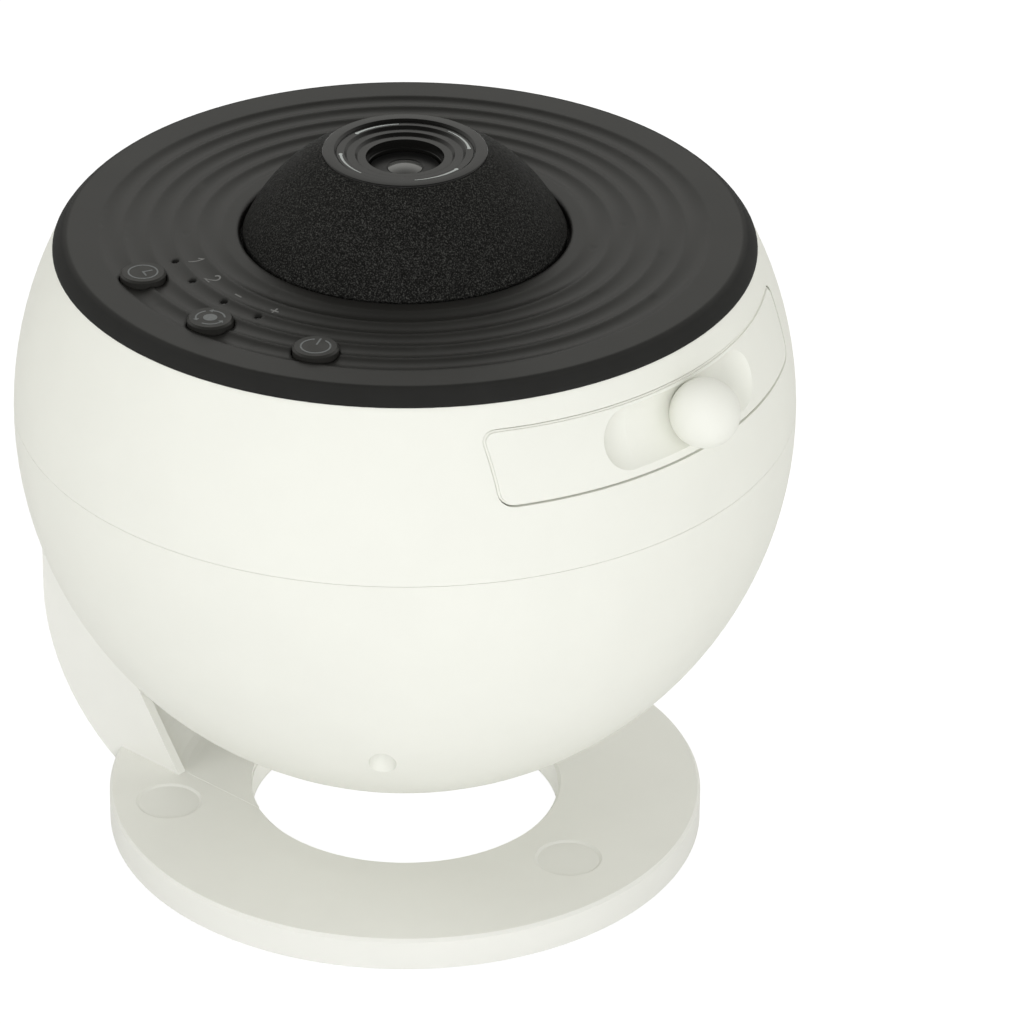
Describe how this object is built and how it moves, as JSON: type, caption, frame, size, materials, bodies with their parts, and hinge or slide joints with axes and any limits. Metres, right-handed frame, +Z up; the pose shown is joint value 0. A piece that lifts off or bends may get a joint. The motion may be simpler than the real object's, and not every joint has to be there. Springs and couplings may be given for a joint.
{
  "type": "planetarium projector",
  "caption": "Ball-shaped star projector on a ring stand with one side arm, rippled top plate, focus dome, press buttons and a picture disc drawer.",
  "frame": {"origin": "middle of the stand, on the surface that the foot pads rest on", "axes": "+Z up along the lens axis, +X towards the drawer knob and along the tilt axis, -Y towards the buttons"},
  "size_m": [0.1729, 0.16, 0.1558],
  "materials": {
    "white_stand": "fine satin moulded",
    "weight_steel": "plain",
    "steel": "zinc plated",
    "rubber_pad": "matt",
    "fibre": "fibre washer",
    "white_shell": "fine satin moulded",
    "natural_plastic": "low-friction moulded",
    "black_plate": "satin moulded",
    "black_inner": "moulded",
    "optical_glass": "polished",
    "board_white": "aluminium-backed lamp board",
    "lamp_yellow": "phosphor",
    "finned_aluminium": "extruded",
    "board": "circuit board",
    "grey_plastic": "moulded",
    "black_grain": "leather-grain moulded",
    "black_smooth": "smooth moulded",
    "clear_plastic": "clear moulded",
    "film": "photographic film"
  },
  "bodies": {
    "stand": {"base_ring": "white_stand", "base_weight": "weight_steel", "base_bottom_plate": "white_stand", "base_screws": "steel", "foot_pads": "rubber_pad", "stand_arm": "white_stand", "arm_cover": "white_stand", "arm_screws": "steel", "cover_screws": "steel", "pivot_shaft": "steel", "friction_washer": "fibre", "wave_washer": "steel", "pivot_nut": "steel", "pivot_cap": "white_stand"},
    "projector": {"lower_shell": "white_shell", "upper_shell": "white_shell", "shell_screws": "steel", "pivot_bush": "natural_plastic", "top_plate": "black_plate", "plate_screws": "steel", "dome_retainer": "black_inner", "retainer_screws": "steel", "chassis": "black_inner", "chassis_screws": "steel", "drawer_rails": "natural_plastic", "lens_guide": "black_inner", "gear_motor": "steel", "lamp_tube": "black_inner", "condenser_lens_lower": "optical_glass", "condenser_lens_upper": "optical_glass", "condenser_spacers": "black_inner", "lamp_board": "board_white", "lamp_led": "lamp_yellow", "heat_sink": "finned_aluminium", "lamp_screws": "steel", "control_board": "board", "tact_switches": "black_inner", "light_guides": "grey_plastic", "driver_board": "board", "inlet_board": "board", "board_screws": "steel", "power_inlet": "steel"},
    "focus": {"focus_dome": "black_grain", "lens_bezel": "black_smooth"},
    "lens": {"lens_barrel": "black_inner", "front_lens": "optical_glass", "rear_lens": "optical_glass", "lens_rings": "black_inner"},
    "timer_key": {"timer_button": "black_plate"},
    "mode_key": {"mode_button": "black_plate"},
    "power_key": {"power_button": "black_plate"},
    "drawer": {"drawer_front": "white_shell", "drawer_tray": "natural_plastic", "drawer_knob": "white_shell", "knob_screw": "steel", "tray_screws": "steel"},
    "disc": {"picture_disc": "clear_plastic", "picture_film": "film", "film_ring": "clear_plastic"},
    "pinion": {"drive_pinion": "natural_plastic"}
  },
  "joints": [
    {"name": "body_tilt", "type": "hinge", "parent": "stand", "child": "projector", "pos_m": [-0.0754, 0, 0.0983], "axis": [1, 0, 0], "continuous": true},
    {"name": "focus_turn", "type": "hinge", "parent": "projector", "child": "focus", "pos_m": [0, 0, 0.136], "axis": [0, 0, 1], "range_deg": [-135, 135]},
    {"name": "lens_slide", "type": "slide", "parent": "projector", "child": "lens", "axis": [0, 0, 1], "range_m": [-0.00225, 0.00225]},
    {"name": "drawer_slide", "type": "slide", "parent": "projector", "child": "drawer", "axis": [1, 0, 0], "range_m": [0, 0.1]},
    {"name": "disc_spin", "type": "hinge", "parent": "drawer", "child": "disc", "pos_m": [0, 0, 0.118], "axis": [0, 0, 1], "continuous": true},
    {"name": "pinion_spin", "type": "hinge", "parent": "projector", "child": "pinion", "pos_m": [-0.04, 0, 0.118], "axis": [0, 0, 1], "continuous": true},
    {"name": "timer_press", "type": "slide", "parent": "projector", "child": "timer_key", "axis": [0, 0, -1], "range_m": [0, 0.0008], "stiffness_N_per_m": 600, "springref_m": -0.0006},
    {"name": "mode_press", "type": "slide", "parent": "projector", "child": "mode_key", "axis": [0, 0, -1], "range_m": [0, 0.0008], "stiffness_N_per_m": 600, "springref_m": -0.0006},
    {"name": "power_press", "type": "slide", "parent": "projector", "child": "power_key", "axis": [0, 0, -1], "range_m": [0, 0.0008], "stiffness_N_per_m": 600, "springref_m": -0.0006}
  ],
  "couplings": [
    {"joint": "lens_slide", "follows": "focus_turn", "m_per_rad": 0.00095493},
    {"joint": "pinion_spin", "follows": "disc_spin", "ratio": -8.5}
  ]
}
